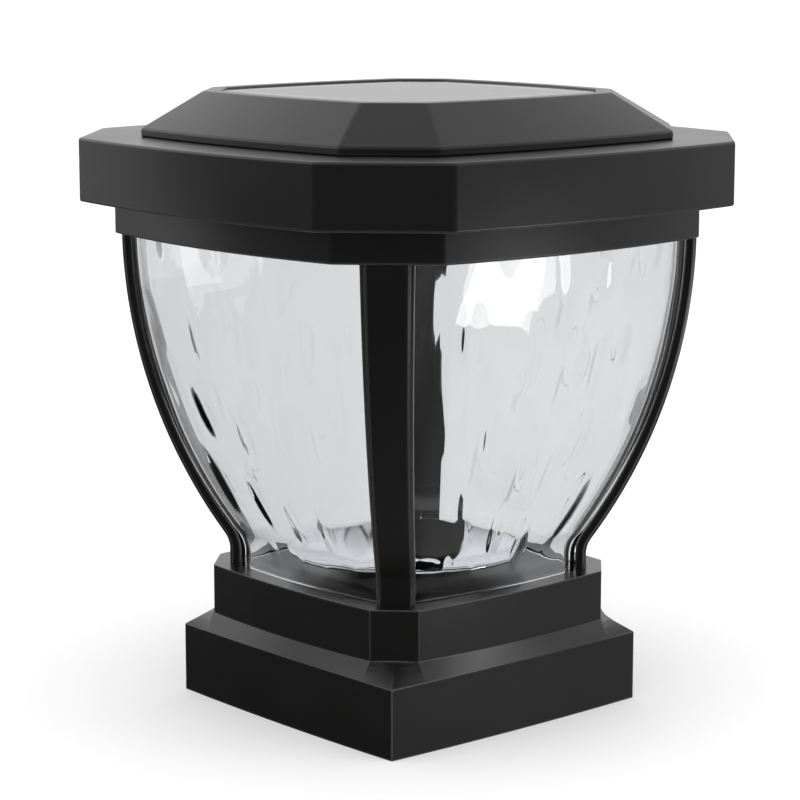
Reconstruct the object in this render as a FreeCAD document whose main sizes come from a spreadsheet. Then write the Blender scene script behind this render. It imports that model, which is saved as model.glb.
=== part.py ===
"""Solar deck post cap light: a square skirt that drops over a timber post, a bowed octagonal tier,
four ribs round a clear glass globe, and a lift-off roof that holds the solar panel, the lamp and
its rechargeable cells.

Millimetres, +Z up, origin at the middle of the skirt's lower edge. The faces of the light are
square to X and Y, so its four corner facets look along the diagonals.

Nearly every outline is one family, the bowed octagon: four short straight facets across the
corners and four long sides that bow outwards. It has three sizes:
  facet  distance from the axis to the corner facet, along the diagonal
  half   half the length of the corner facet
  bow    how far the middle of a side stands out from the straight line between its ends
"""
import FreeCAD
import Part
import math
import os
import re

import Sketcher

from FreeCAD import Placement, Rotation, Vector

# ---------------------------------------------------------------- driving dimensions
# Each size that can be chosen by itself is here, once.
SIZES = [
    # post and base cap
    ("post_side", 88.9),         # dressed side of a nominal 4 x 4 post
    ("post_gap", 1.55),          # skirt's inner face to the post, each side
    ("skirt_wall", 3.0),
    ("skirt_height", 20.9),
    ("skirt_bow", 1.2),
    ("mitre_run", 20.0),         # length of skirt edge that runs to half a tier facet
    ("crush_rib_depth", 1.0),    # small upright ribs inside the skirt that centre the post
    ("crush_rib_width", 2.4),
    ("crush_rib_spread", 27.0),  # from the middle of a side
    ("post_stop_drop", 2.6),     # the post stops this far below the skirt's upper edge
    ("deck_rise", 5.6),
    ("deck_run", 10.2),          # skirt's corner to the middle of a tier facet, seen from above
    ("tier_half", 7.05),
    ("tier_bow", 2.0),
    ("tier_height", 15.1),
    ("tier_wall", 3.0),
    ("tier_plate", 3.0),
    # ribs
    ("neck_inset", 4.7),         # tier's facet to the outer face of the rib on it
    ("neck_curve", 8.5),         # radius that turns the upright neck into the bowl
    ("neck_rise", 4.54),         # height of the upright neck
    ("bowl_swell", 31.5),        # outward reach of the bowl's side from the neck
    ("bowl_height", 103.6),      # tier's top to the level where the bowl's side is upright
    ("rib_depth", 3.2),
    ("rib_panel_raise", 0.8),
    ("rib_top_width", 15.2),
    ("rib_foot_width", 11.0),
    ("rib_panel_top", 12.0),
    ("rib_panel_foot", 9.0),
    ("tongue_depth", 2.0),       # tongue under each rib, through a slot in the tier's plate
    ("tongue_width", 8.0),
    ("tongue_drop", 9.0),
    ("tongue_inset", 0.4),
    ("slot_gap", 0.3),
    # ring
    ("rib_join", 2.0),           # the ribs run this far up inside the ring
    ("ring_cover", 0.3),         # ring's face outside the ribs
    ("ring_half", 15.3),
    ("ring_bow", 5.2),
    ("ring_wall", 3.0),
    ("ring_height", 12.0),
    ("ring_edge", 1.0),
    ("ring_drop", 1.2),          # ring's lower edge below the level where the bowl is upright
    # glass globe
    ("glass_wall", 3.0),
    ("glass_gap", 0.4),          # inner face of a rib to the glass
    ("glass_foot_half", 6.2),
    ("glass_top_half", 13.4),
    ("glass_foot_bow", 2.0),
    ("glass_top_bow", 5.4),
    ("glass_top_below_ring", 4.0),
    ("seat_depth", 1.5),
    ("seat_gap", 0.3),
    ("foot_gasket_thickness", 1.0),
    ("top_gasket_thickness", 1.2),
    # reflector
    ("dish_gap", 1.8),           # dish's lip to the line between two corners of the glass
    ("dish_height", 6.4),
    ("dish_sheet", 1.0),
    ("dish_floor", 9.0),
    ("dish_lip", 2.0),
    # roof
    ("roof_gasket_thickness", 1.0),
    ("roof_gasket_inset", 0.4),
    ("roof_rest_gap", 0.1),
    ("rim_reveal", 9.8),         # ring's facet to the rim's
    ("rim_half", 18.9),
    ("rim_bow", 4.2),
    ("rim_wall", 3.0),
    ("rim_height", 18.9),
    ("rim_overlap", 2.3),        # rim's lower edge below the ring's top
    ("rim_edge", 0.8),
    ("rim_plate", 2.6),
    ("rim_hole_margin", 8.2),    # hood's facet to the opening under it
    ("rim_hole_half", 11.0),
    ("rim_ledge", 17.8),         # rim's facet to the hood's
    ("hood_half", 13.8),
    ("hood_bow", 3.0),
    ("hood_foot", 2.4),
    ("hood_slope", 10.9),        # rise of the sloping part
    ("hood_batter", 18.1),       # level run of the sloping part
    ("hood_top_half", 9.1),
    ("hood_top_bow", 2.6),
    ("hood_wall", 3.0),
    ("hood_floor", 1.6),
    ("spigot_gap", 0.4),
    ("spigot_wall", 2.5),
    ("spigot_depth", 4.6),
    ("tray_gap", 0.5),
    ("tray_plate", 3.0),
    ("tray_wall", 2.0),
    ("tray_lip_gap", 0.3),
    ("tray_lip_wall", 2.0),
    ("tray_lip_depth", 3.4),
    # solar panel
    ("panel_border", 4.7),       # flat border of the hood round the panel's pocket
    ("panel_gap", 0.4),
    ("panel_ledge", 4.9),
    ("panel_ledge_thickness", 1.6),
    ("panel_sunk", 0.5),         # panel's face below the hood's border
    ("seal_thickness", 0.8),
    ("backing_thickness", 1.2),
    ("cell_wafer", 0.4),
    ("cover_thickness", 1.2),
    ("backing_step", 0.4),       # the backing board's middle sinks into the seal's window
    ("wafer_margin", 7.83),      # side of the panel to the cell strips
    ("wafer_gap", 0.8),
    ("wafer_count", 6),
    # lamp
    ("lens_radius", 13.0),
    ("lens_flange", 3.0),
    ("lens_flange_thickness", 1.5),
    ("lens_dome", 3.0),
    ("lens_nose_radius", 9.0),
    ("lens_hole_gap", 0.3),
    ("led_pocket_radius", 6.0),
    ("led_pocket_depth", 2.6),
    ("led_board_thickness", 1.6),
    ("led_side", 5.0),
    ("led_height", 1.6),
    # battery bay
    ("cell_diameter", 14.5),
    ("cell_length", 49.5),
    ("nub_radius", 2.75),
    ("nub_height", 1.0),
    ("cell_gap", 0.5),
    ("bay_side_gap", 0.75),
    ("bay_head_gap", 0.5),
    ("bay_wall", 1.6),
    ("bay_flange", 3.0),
    ("bay_clearance", 1.9),      # lens's flange to the bay's flange
    ("contact_sheet", 0.5),
    ("contact_width", 8.0),
    ("contact_reach", 6.0),
    ("contact_height", 11.0),
    ("door_thickness", 2.4),
    ("door_gap", 0.4),
    ("door_margin", 0.8),
    ("door_pin_radius", 0.7),
    ("door_pin_length", 2.0),
    ("door_pin_gap", 0.08),
    ("door_pin_end_gap", 0.4),
    ("door_tab", 4.0),
    ("door_tab_thickness", 1.2),
    ("door_tab_width", 12.0),
    ("door_tab_inset", 2.2),
    ("door_grip_radius", 9.0),
    ("door_grip_depth", 1.0),
    # circuit board and switch
    ("board_length", 48.0),
    ("board_width", 26.0),
    ("board_thickness", 1.6),
    ("board_lift", 5.4),
    ("board_clearance", 11.0),   # lens's flange to the circuit board
    ("board_post_radius", 3.0),
    ("board_post_spread", 19.0),
    ("switch_length", 13.0),
    ("switch_width", 6.6),
    ("switch_gap", 0.2),
    ("switch_wall", 0.8),
    ("knob_length", 4.0),
    ("knob_width", 2.6),
    ("knob_proud", 1.6),
    ("knob_flange", 1.0),
    ("knob_flange_thickness", 1.4),
    ("knob_gap", 0.3),
    ("knob_travel", 4.0),
    ("coil_radius", 3.0),
    ("coil_height", 4.5),
    ("chip_length", 6.0),
    ("chip_width", 4.0),
    ("chip_height", 1.6),
    ("part_spacing", 3.0),
    # screws
    ("screw_radius", 1.5),
    ("screw_head_radius", 3.0),
    ("screw_head_height", 2.2),
    ("screw_hole_gap", 0.05),
    ("pass_hole_gap", 0.25),
    ("hole_spare", 0.5),         # blind hole beyond the screw's tip
    ("boss_radius", 4.0),
    ("boss_offset", 0.6),        # panel's pocket to the middle of a roof boss
    ("roof_screw_length", 13.0),
    ("boss_depth", 9.0),
    ("rib_screw_length", 4.6),
    ("dish_screw_length", 8.0),
    ("board_screw_length", 5.5),
    ("join", 0.5),               # solids that are joined run this far into each other
]

# Levels and sizes that follow from the driving ones. Each is a formula in the names above.
FORMULAS = {
    "skirt_half": "post_side / 2 + post_gap + skirt_wall",
    "socket_half": "post_side / 2 + post_gap",
    "post_stop": "skirt_height - post_stop_drop",
    "tier_facet": "skirt_half * sqrt(2) - deck_run",
    "tier_foot": "skirt_height + deck_rise",
    "tier_top": "tier_foot + tier_height",
    "tier_room_half": "tier_half - tier_wall * facet_share",
    "seat_floor": "tier_top - seat_depth",
    "neck_radius": "tier_facet - neck_inset",
    "bowl_level": "tier_top + bowl_height",
    "bowl_reach": "neck_radius + bowl_swell",
    # the circle that leaves the neck's curve on a tangent and is upright at bowl_level
    "bowl_radius": ("((bowl_swell - neck_curve)^2 + (bowl_height - neck_rise)^2 - neck_curve^2)"
                    " / (2 * bowl_swell)"),
    "ring_facet": "bowl_reach + ring_cover",
    "rim_facet": "ring_facet + rim_reveal",
    "hood_facet": "rim_facet - rim_ledge",
    "hood_top_facet": "hood_facet - hood_batter",
    "rim_hole_facet": "hood_facet - rim_hole_margin",
    "ring_foot": "bowl_level - ring_drop",
    "ring_top": "ring_foot + ring_height",
    "glass_neck": "neck_radius - rib_depth - glass_gap",
    "glass_foot": "seat_floor + foot_gasket_thickness",
    "glass_top": "ring_top - glass_top_below_ring",
    "dish_radius": ("(glass_neck + glass_foot_half - glass_wall * (1 + facet_share)) / sqrt(2)"
                    " - dish_gap"),
    "tongue_outer": "neck_radius - tongue_inset",
    "tongue_inner": "tongue_outer - tongue_depth",
    "rib_screw_level": "tier_top - tongue_drop + screw_head_radius",
    "roof_seat": "ring_top + roof_gasket_thickness",
    "tray_foot": "roof_seat + roof_rest_gap",
    "tray_top": "tray_foot + tray_plate",
    "rim_foot": "ring_top - rim_overlap",
    "rim_top": "rim_foot + rim_height",
    "rim_ceiling": "rim_top - rim_plate",
    "hood_shoulder": "rim_top + hood_foot",
    "hood_top": "hood_shoulder + hood_slope",
    "pocket_facet": "hood_top_facet - panel_border",
    "pocket_half": "hood_top_half - panel_border * facet_share",
    "panel_stack": "seal_thickness + backing_thickness + cell_wafer + cover_thickness",
    "pocket_floor": "hood_top - panel_sunk - panel_stack",
    "ledge_under": "pocket_floor - panel_ledge_thickness",
    "panel_facet": "pocket_facet - panel_gap",
    "panel_half": "pocket_half - panel_gap * facet_share",
    "wafer_length": "2 * ((panel_facet + panel_half) / sqrt(2) - wafer_margin)",
    "wafer_width": "(wafer_length + wafer_gap) / wafer_count - wafer_gap",
    "roof_screw_reach": "pocket_facet + boss_offset",
    "lens_top": "tray_top + lens_flange_thickness",
    "bay_length": "cell_length + nub_height + contact_sheet + contact_reach",
    "bay_width": "2 * cell_diameter + cell_gap + 2 * bay_side_gap",
    "bay_ceiling": "tray_top + cell_diameter + 2 * bay_head_gap",
    "cell_level": "tray_top + bay_head_gap + cell_diameter / 2",
    "bay_offset": ("lens_radius + lens_flange + bay_clearance + bay_flange + bay_wall"
                   " + bay_width / 2"),
    "board_offset": "lens_radius + lens_flange + board_clearance + board_width / 2",
    "door_length": "bay_length + 2 * door_margin",
    "door_width": "bay_width + 2 * door_margin",
    "door_hinge_y": "-bay_offset - door_width / 2 + door_thickness / 2",
    "door_hinge_z": "tray_foot + door_thickness / 2",
    "board_under": "tray_top + board_lift",
    "board_top": "board_under + board_thickness",
    "tray_facet": "rim_facet - rim_wall - tray_gap",
    "tray_half": "rim_half - (rim_wall + tray_gap) * facet_share",
    "roof_boss_foot": "rim_top - boss_depth",
    # a wall laid inside an octagon shortens its half facet by this share of the wall
    "facet_share": "0.41421356",
}

doc = FreeCAD.newDocument("post_cap_light")
sheet = doc.addObject("Spreadsheet::Sheet", "dims")
for row, (alias, value) in enumerate(SIZES, start=1):
    sheet.set(f"A{row}", alias)
    sheet.set(f"B{row}", str(value))
    sheet.setAlias(f"B{row}", alias)
doc.recompute()
DRIVING = {alias for alias, _ in SIZES}


def expand(text):
    """Write a formula in the sheet's cells, with every derived name opened out."""
    def word(match):
        name = match.group(0)
        if name in DRIVING:
            return "dims." + name
        if name in FORMULAS:
            return "(" + expand(FORMULAS[name]) + ")"
        return name
    return re.sub(r"[a-z_][a-z_0-9]*", word, str(text))


def value(text):
    """The number that a formula gives now."""
    return float(sheet.evalExpression(expand(text)))


def bind(thing, **formulas):
    """Bind properties to formulas; a double underscore stands for a dot."""
    for prop, text in formulas.items():
        thing.setExpression(prop.replace("__", "."), expand(text))
    return thing


# ---------------------------------------------------------------- building blocks
def outline(name, corners, level):
    """A closed sketch at a level. corners lists (x, y, radius) formulas anticlockwise; the edge
    that leaves a corner is straight where radius is None, and else an arc that bows outwards."""
    sketch = doc.addObject("Sketcher::SketchObject", name)
    count = len(corners)
    spots = [Vector(value(x), value(y), 0) for x, y, _ in corners]
    for i, (_, _, radius) in enumerate(corners):
        start, end = spots[i], spots[(i + 1) % count]
        if radius is None:
            sketch.addGeometry(Part.LineSegment(start, end), False)
            continue
        size = value(radius)
        chord = end - start
        inward = Vector(-chord.y, chord.x, 0).normalize()
        depth = math.sqrt(max(size ** 2 - (chord.Length / 2) ** 2, 0))
        centre = (start + end) * 0.5 + inward * depth
        first = math.atan2(start.y - centre.y, start.x - centre.x)
        last = math.atan2(end.y - centre.y, end.x - centre.x)
        circle = Part.Circle(centre, Vector(0, 0, 1), size)
        sketch.addGeometry(Part.ArcOfCircle(circle, first, last), False)
    for i in range(count):
        sketch.addConstraint(Sketcher.Constraint("Coincident", i, 2, (i + 1) % count, 1))
    for i, (x, y, radius) in enumerate(corners):
        for axis, text, now in (("DistanceX", x, spots[i].x), ("DistanceY", y, spots[i].y)):
            index = sketch.addConstraint(Sketcher.Constraint(axis, -1, 1, i, 1, now))
            sketch.setExpression(f"Constraints[{index}]", expand(text))
        if radius is not None:
            index = sketch.addConstraint(Sketcher.Constraint("Radius", i, value(radius)))
            sketch.setExpression(f"Constraints[{index}]", expand(radius))
    bind(sketch, Placement__Base__z=level)
    return sketch


def turned(corners):
    """The corners of one quarter, repeated for the other three quarters."""
    whole = []
    for quarter in range(4):
        for x, y, radius in corners:
            sides = [(x, y), (f"-({y})", x), (f"-({x})", f"-({y})"), (y, f"-({x})")]
            whole.append((*sides[quarter], radius))
    return whole


def arc_radius(span, bow):
    """Radius of an arc from half its chord and its bow."""
    return f"(({span})^2 + ({bow})^2) / (2 * ({bow}))"


def octagon(name, facet, half, bow, level):
    """Sketch of a bowed octagon: one facet and one bowed side for each quarter."""
    near = f"(({facet}) - ({half})) / sqrt(2)"
    far = f"(({facet}) + ({half})) / sqrt(2)"
    quarter = [(far, near, None), (near, far, arc_radius(near, bow))]
    return outline(name, turned(quarter), level)


def raised(sketch, height):
    """A solid raised from a sketch along Z."""
    solid = doc.addObject("Part::Extrusion", sketch.Name + "_raised")
    solid.Base = sketch
    solid.DirMode = "Custom"
    solid.Dir = Vector(0, 0, 1)
    solid.Solid = True
    return bind(solid, LengthFwd=height)


def prism(name, facet, half, bow, low, high):
    """A bowed octagon raised between two levels."""
    sketch = octagon(name + "_outline", facet, half, bow, low)
    return raised(sketch, f"({high}) - ({low})")


def loft(name, *sections):
    """A straight-ruled solid through bowed octagons given as (facet, half, bow, level)."""
    solid = doc.addObject("Part::Loft", name + "_loft")
    solid.Sections = [octagon(f"{name}_outline_{i}", *section)
                      for i, section in enumerate(sections)]
    solid.Solid = True
    solid.Ruled = True
    return solid


def block(name, length, width, low, high, x="0", y="0"):
    """A box about a middle point in plan, between two levels."""
    solid = doc.addObject("Part::Box", name + "_block")
    return bind(solid, Length=length, Width=width, Height=f"({high}) - ({low})",
                Placement__Base__x=f"({x}) - ({length}) / 2",
                Placement__Base__y=f"({y}) - ({width}) / 2",
                Placement__Base__z=low)


def rod(name, radius, low, high, x="0", y="0"):
    """An upright cylinder between two levels."""
    solid = doc.addObject("Part::Cylinder", name + "_rod")
    return bind(solid, Radius=radius, Height=f"({high}) - ({low})",
                Placement__Base__x=x, Placement__Base__y=y, Placement__Base__z=low)


def lying_rod(name, radius, left, right, y, z):
    """A cylinder along X between two places."""
    solid = doc.addObject("Part::Cylinder", name + "_rod")
    solid.Placement = Placement(Vector(), Rotation(Vector(0, 1, 0), 90))
    return bind(solid, Radius=radius, Height=f"({right}) - ({left})",
                Placement__Base__x=left, Placement__Base__y=y, Placement__Base__z=z)


def joined(name, *solids):
    """Solids fused into one piece."""
    whole = doc.addObject("Part::MultiFuse", name)
    whole.Shapes = list(solids)
    return whole


def cut(name, base, *tools):
    """A solid with one or more tools taken out of it."""
    piece = doc.addObject("Part::Cut", name)
    piece.Base = base
    piece.Tool = tools[0] if len(tools) == 1 else joined(name + "_tools", *tools)
    return piece


def group(name, solids):
    """Equal pieces kept as separate solids in one node."""
    whole = doc.addObject("Part::Compound", name)
    whole.Links = list(solids)
    return whole


def placed(name, shape):
    """A piece whose form is worked out below from the sheet's values."""
    piece = doc.addObject("Part::Feature", name)
    piece.Shape = shape
    piece.Placement = Placement()
    return piece


def on_diagonals(reach):
    """Plan places of the four corners at a distance from the axis."""
    step = f"({reach}) / sqrt(2)"
    return [(step, step), (f"-{step}", step), (f"-{step}", f"-{step}"), (step, f"-{step}")]


PARTS = []


def keep(piece):
    """Hand a finished sub-part in under its own name."""
    PARTS.append(piece)
    return piece


# ---------------------------------------------------------------- base cap
def skirt_side_y(x):
    """Formula of the skirt's bowed side over a place along it."""
    radius = arc_radius("skirt_half", "skirt_bow")
    return f"skirt_half + skirt_bow - {radius} + sqrt(({radius})^2 - ({x})^2)"


def base_cap():
    """Skirt with a mitred deck that closes in to the octagonal tier, hollow from below."""
    radius = arc_radius("skirt_half", "skirt_bow")
    skirt = raised(outline("skirt_outline", turned([("skirt_half", "skirt_half", radius)]), "0"),
                   "skirt_height")
    # the deck's lower outline has a corner where the tier's has the middle of a facet
    run = "skirt_half - mitre_run"
    low = [("skirt_half", "skirt_half", radius), (run, skirt_side_y(run), radius),
           (f"-({run})", skirt_side_y(run), radius)]
    middle = "tier_facet / sqrt(2)"
    near, far = "(tier_facet - tier_half) / sqrt(2)", "(tier_facet + tier_half) / sqrt(2)"
    high = [(middle, middle, None), (near, far, arc_radius(near, "tier_bow")),
            (f"-({near})", far, None)]
    deck = doc.addObject("Part::Loft", "deck")
    deck.Sections = [outline("deck_foot", turned(low), "skirt_height"),
                     outline("deck_head", turned(high), "tier_foot")]
    deck.Solid = True
    deck.Ruled = True
    tier = prism("tier", "tier_facet", "tier_half", "tier_bow", "tier_foot", "tier_top")

    socket = block("socket", "2 * socket_half", "2 * socket_half", "-1", "post_stop")
    room = prism("tier_room", "tier_facet - tier_wall", "tier_room_half", "tier_bow",
                 "post_stop", "tier_top - tier_plate")
    seat = cut("globe_seat",
               prism("seat", "glass_neck + seat_gap", "glass_foot_half + seat_gap * facet_share",
                     "glass_foot_bow", "seat_floor", "tier_top + 1"),
               prism("seat_island", "glass_neck - glass_wall - seat_gap",
                     "glass_foot_half - (glass_wall + seat_gap) * facet_share",
                     "glass_foot_bow", "seat_floor", "tier_top + 1"))
    slots = placed("tongue_slots", Part.makeCompound(tongue_shapes(
        "slot_gap", "tier_top - tier_plate - 1", "tier_top + 1")))
    screw_hole = rod("dish_screw_hole", "screw_radius + screw_hole_gap", "post_stop", "tier_top + 1")
    shell = cut("base_shell", joined("base_outside", skirt, deck, tier),
                socket, room, seat, slots, screw_hole)
    ribs = []
    for side in range(4):
        for hand in (-1, 1):
            ribs.append(crush_rib(f"crush_rib_{side}_{hand + 1}", side, hand))
    # pads on the tier's inner facets that the ribs' screws bite into
    pads = placed("rib_screw_pads", Part.makeCompound(diagonal_box(
        value("tongue_outer + slot_gap"), value("tier_facet - tier_wall + join"),
        value("tongue_width"), value("rib_screw_level - screw_head_radius"),
        value("tier_top - tier_plate + join"))))
    pad_holes = placed("rib_screw_holes", Part.makeCompound(diagonal_rod(
        "screw_radius + screw_hole_gap", "tongue_outer",
        "tongue_inner + rib_screw_length + hole_spare")))
    boss = cut("dish_boss",
               rod("dish_boss", "boss_radius", "tier_top - boss_depth", "tier_top - tier_plate"),
               rod("dish_boss_hole", "screw_radius + screw_hole_gap", "post_stop",
                   "tier_top"))
    keep(cut("base_cap", joined("base_solid", shell, boss, pads, *ribs), pad_holes))


def crush_rib(name, side, hand):
    """One upright rib on the skirt's inner face; side counts the faces anticlockwise from +X."""
    along = f"{hand} * crush_rib_spread"
    across = "socket_half - crush_rib_depth / 2"
    x, y = [(across, along), (along, across), (f"-({across})", along), (along, f"-({across})")][side]
    sizes = ["crush_rib_depth", "crush_rib_width"]
    length, width = sizes if side % 2 == 0 else sizes[::-1]
    return block(name, length, width, "0", "post_stop", x, y)


def diagonal_box(inner, outer, width, low, high):
    """Four boxes across the diagonals, from one radius to another."""
    shapes = []
    for quarter in range(4):
        shape = Part.makeBox(outer - inner, width, high - low, Vector(inner, -width / 2, low))
        shapes.append(shape.rotate(Vector(), Vector(0, 0, 1), 45 + 90 * quarter))
    return shapes


def tongue_shapes(gap, low, high):
    """Boxes on the diagonals the size of the ribs' tongues, grown by a gap, between two levels."""
    return diagonal_box(value(f"tongue_inner - {gap}"), value(f"tongue_outer + {gap}"),
                        value(f"tongue_width + 2 * {gap}"), value(low), value(high))


def diagonal_rod(radius, start, end):
    """Four level rods along the diagonals at the rib screws' level, between two radii."""
    shapes = []
    for quarter in range(4):
        shape = Part.makeCylinder(value(radius), value(f"{end} - ({start})"),
                                  Vector(value(start), 0, value("rib_screw_level")),
                                  Vector(1, 0, 0))
        shapes.append(shape.rotate(Vector(), Vector(0, 0, 1), 45 + 90 * quarter))
    return shapes


# ---------------------------------------------------------------- ribs, ring and globe
def bowl_edges(inset, foot, top):
    """The bowl's side in the (radius, level) plane, a given depth inside the ribs' outer face:
    an upright neck, an arc that turns it outwards, the long arc of the bowl, an upright top."""
    neck = value("neck_radius") - inset
    turn = value("neck_curve") + inset
    bowl = value("bowl_radius") - inset
    centre = Vector(value("bowl_reach - bowl_radius"), 0, value("bowl_level"))
    across = neck + turn - centre.x
    turn_centre = Vector(neck + turn, 0, centre.z - math.sqrt((bowl + turn) ** 2 - across ** 2))
    heading = (turn_centre - centre).normalize()
    neck_top = Vector(neck, 0, turn_centre.z)
    meeting = centre + heading * bowl
    shoulder = Vector(centre.x + bowl, 0, centre.z)
    angle = math.atan2(heading.z, heading.x)
    half_way = centre + Vector(math.cos(angle / 2), 0, math.sin(angle / 2)) * bowl
    swing = (angle + math.pi + math.pi) / 2
    turn_way = turn_centre + Vector(math.cos(swing), 0, math.sin(swing)) * turn
    return [
        Part.LineSegment(Vector(neck, 0, foot), neck_top).toShape(),
        Part.Arc(neck_top, turn_way, meeting).toShape(),
        Part.Arc(meeting, half_way, shoulder).toShape(),
        Part.LineSegment(shoulder, Vector(shoulder.x, 0, top)).toShape(),
    ]


def bowl_radius_at(level, inset):
    """Distance of the bowl's side from the axis at a level, along a diagonal."""
    neck = value("neck_radius") - inset
    turn = value("neck_curve") + inset
    bowl = value("bowl_radius") - inset
    centre_r, centre_z = value("bowl_reach - bowl_radius"), value("bowl_level")
    across = neck + turn - centre_r
    turn_z = centre_z - math.sqrt((bowl + turn) ** 2 - across ** 2)
    meeting = centre_z + (turn_z - centre_z) * bowl / (bowl + turn)
    if level >= centre_z:
        return centre_r + bowl
    if level >= meeting:
        return centre_r + math.sqrt(bowl ** 2 - (centre_z - level) ** 2)
    if level >= turn_z:
        return neck + turn - math.sqrt(turn ** 2 - (level - turn_z) ** 2)
    return neck


def bowl_strip(outer_inset, inner_inset, foot, top, foot_width, top_width):
    """A strip that follows the bowl's side, tapering in width from the ring to the tier."""
    outer = bowl_edges(outer_inset, foot, top)
    inner = bowl_edges(inner_inset, foot, top)
    low = Part.makeLine(inner[0].Vertexes[0].Point, outer[0].Vertexes[0].Point)
    high = Part.makeLine(outer[-1].Vertexes[-1].Point, inner[-1].Vertexes[-1].Point)
    side = Part.Face(Part.Wire(Part.__sortEdges__(outer + inner + [low, high])))
    spread = max(foot_width, top_width)
    side.translate(Vector(0, -spread, 0))
    slab = side.extrude(Vector(0, 2 * spread, 0))
    front = Part.makePolygon([Vector(0, -foot_width / 2, foot), Vector(0, foot_width / 2, foot),
                              Vector(0, top_width / 2, top), Vector(0, -top_width / 2, top),
                              Vector(0, -foot_width / 2, foot)])
    taper = Part.Face(front).extrude(Vector(2 * value("ring_facet"), 0, 0))
    return slab.common(taper)


def lantern_frame():
    """Ring and four ribs in one moulding; each rib has a raised panel and a tongue at its foot."""
    ring = cut("ring_body",
               loft("ring", ("ring_facet - ring_edge", "ring_half - ring_edge * facet_share",
                             "ring_bow", "ring_foot"),
                    ("ring_facet", "ring_half", "ring_bow", "ring_foot + ring_edge"),
                    ("ring_facet", "ring_half", "ring_bow", "ring_top")),
               prism("ring_bore", "ring_facet - ring_wall", "ring_half - ring_wall * facet_share",
                     "ring_bow", "ring_foot - 1", "ring_top + 1"))
    foot, top = value("tier_top"), value("ring_foot + ring_edge + rib_join")
    step, depth = value("rib_panel_raise"), value("rib_depth")
    strip = bowl_strip(step, depth, foot, top, value("rib_foot_width"), value("rib_top_width"))
    panel = bowl_strip(0.0, depth / 2, foot, top, value("rib_panel_foot"), value("rib_panel_top"))
    rib = strip.fuse(panel)
    tongues = tongue_shapes("0", "tier_top - tongue_drop", "tier_top + join")
    holes = diagonal_rod("screw_radius + pass_hole_gap", "tongue_inner - 1", "tongue_outer + 1")
    shapes = []
    for quarter, (tongue, hole) in enumerate(zip(tongues, holes)):
        post = rib.copy().rotate(Vector(), Vector(0, 0, 1), 45 + 90 * quarter)
        shapes.append(post.fuse(tongue.cut(hole)))
    keep(joined("lantern_frame", ring, placed("ribs", Part.makeCompound(shapes))))


def glass_section(level, share, inset):
    """Wire of the globe's outline at a level; share runs from 0 at its foot to 1 at its top."""
    facet_share = value("facet_share")
    half = value("glass_foot_half") + share * (value("glass_top_half") - value("glass_foot_half"))
    bow = value("glass_foot_bow") + share * (value("glass_top_bow") - value("glass_foot_bow"))
    facet = bowl_radius_at(level, value("rib_depth + glass_gap")) - inset
    half -= inset * facet_share
    near, far = (facet - half) / math.sqrt(2), (facet + half) / math.sqrt(2)
    edges = []
    for quarter in range(4):
        start = Vector(far, -near, level)
        middle = Vector(far + bow, 0, level)
        end = Vector(far, near, level)
        corner = Vector(near, far, level)
        for edge in (Part.Arc(start, middle, end).toShape(), Part.makeLine(end, corner)):
            edges.append(edge.rotate(Vector(), Vector(0, 0, 1), 90 * quarter))
    return Part.Wire(edges)


def glass_globe():
    """Clear globe that follows the ribs: a bowed octagon at every level, open at both ends."""
    foot, top = value("glass_foot"), value("glass_top")
    steps = [0, 0.05, 0.09, 0.14, 0.24, 0.38, 0.55, 0.75, 1]
    outside = [glass_section(foot + step * (top - foot), step, 0) for step in steps]
    inside = [glass_section(foot + step * (top - foot), step, value("glass_wall"))
              for step in steps]
    shell = Part.makeLoft(outside, True, True).cut(Part.makeLoft(inside, True, True))
    keep(placed("glass_globe", shell))


def glass_ring(name, low, high, level, share):
    """A flat rubber ring between two levels, with the glass's section at one of its ends."""
    outer, inner = glass_section(level, share, 0), glass_section(level, share, value("glass_wall"))
    drop = Vector(0, 0, value(low) - level)
    rise = Vector(0, 0, value(high) - value(low))
    outer.translate(drop)
    inner.translate(drop)
    ring = Part.Face(outer).extrude(rise).cut(Part.Face(inner).extrude(rise))
    keep(placed(name, Part.makeCompound([ring]).Solids[0]))


def gaskets():
    """Rubber under the globe, on its top edge, and on top of the ring."""
    glass_ring("globe_foot_gasket", "seat_floor", "glass_foot", value("glass_foot"), 0)
    glass_ring("globe_top_gasket", "glass_top", "glass_top + top_gasket_thickness",
               value("glass_top"), 1)
    keep(cut("roof_gasket",
             prism("roof_gasket_rim", "ring_facet - roof_gasket_inset",
                   "ring_half - roof_gasket_inset * facet_share", "ring_bow", "ring_top",
                   "roof_seat"),
             prism("roof_gasket_hole", "ring_facet - ring_wall + roof_gasket_inset",
                   "ring_half - (ring_wall - roof_gasket_inset) * facet_share", "ring_bow",
                   "ring_top - 1", "roof_seat + 1")))


# ---------------------------------------------------------------- screws and reflector
def pan_screw(name, head_level, length, x="0", y="0", up=True):
    """A pan-head screw: the head lies against a level and the shank runs up or down from it."""
    if up:
        head = rod(name + "_head", "screw_head_radius", f"{head_level} - screw_head_height",
                   head_level, x, y)
        shank = rod(name + "_shank", "screw_radius", head_level, f"{head_level} + {length}", x, y)
    else:
        head = rod(name + "_head", "screw_head_radius", head_level,
                   f"{head_level} + screw_head_height", x, y)
        shank = rod(name + "_shank", "screw_radius", f"{head_level} - {length}", head_level, x, y)
    return joined(name, head, shank)


def rib_screws():
    """Four screws that run outwards through the ribs' tongues into the tier's pads."""
    heads = diagonal_rod("screw_head_radius", "tongue_inner - screw_head_height", "tongue_inner")
    shanks = diagonal_rod("screw_radius", "tongue_inner", "tongue_inner + rib_screw_length")
    screws = [head.fuse(shank) for head, shank in zip(heads, shanks)]
    keep(placed("rib_screws", Part.makeCompound(screws)))


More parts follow.
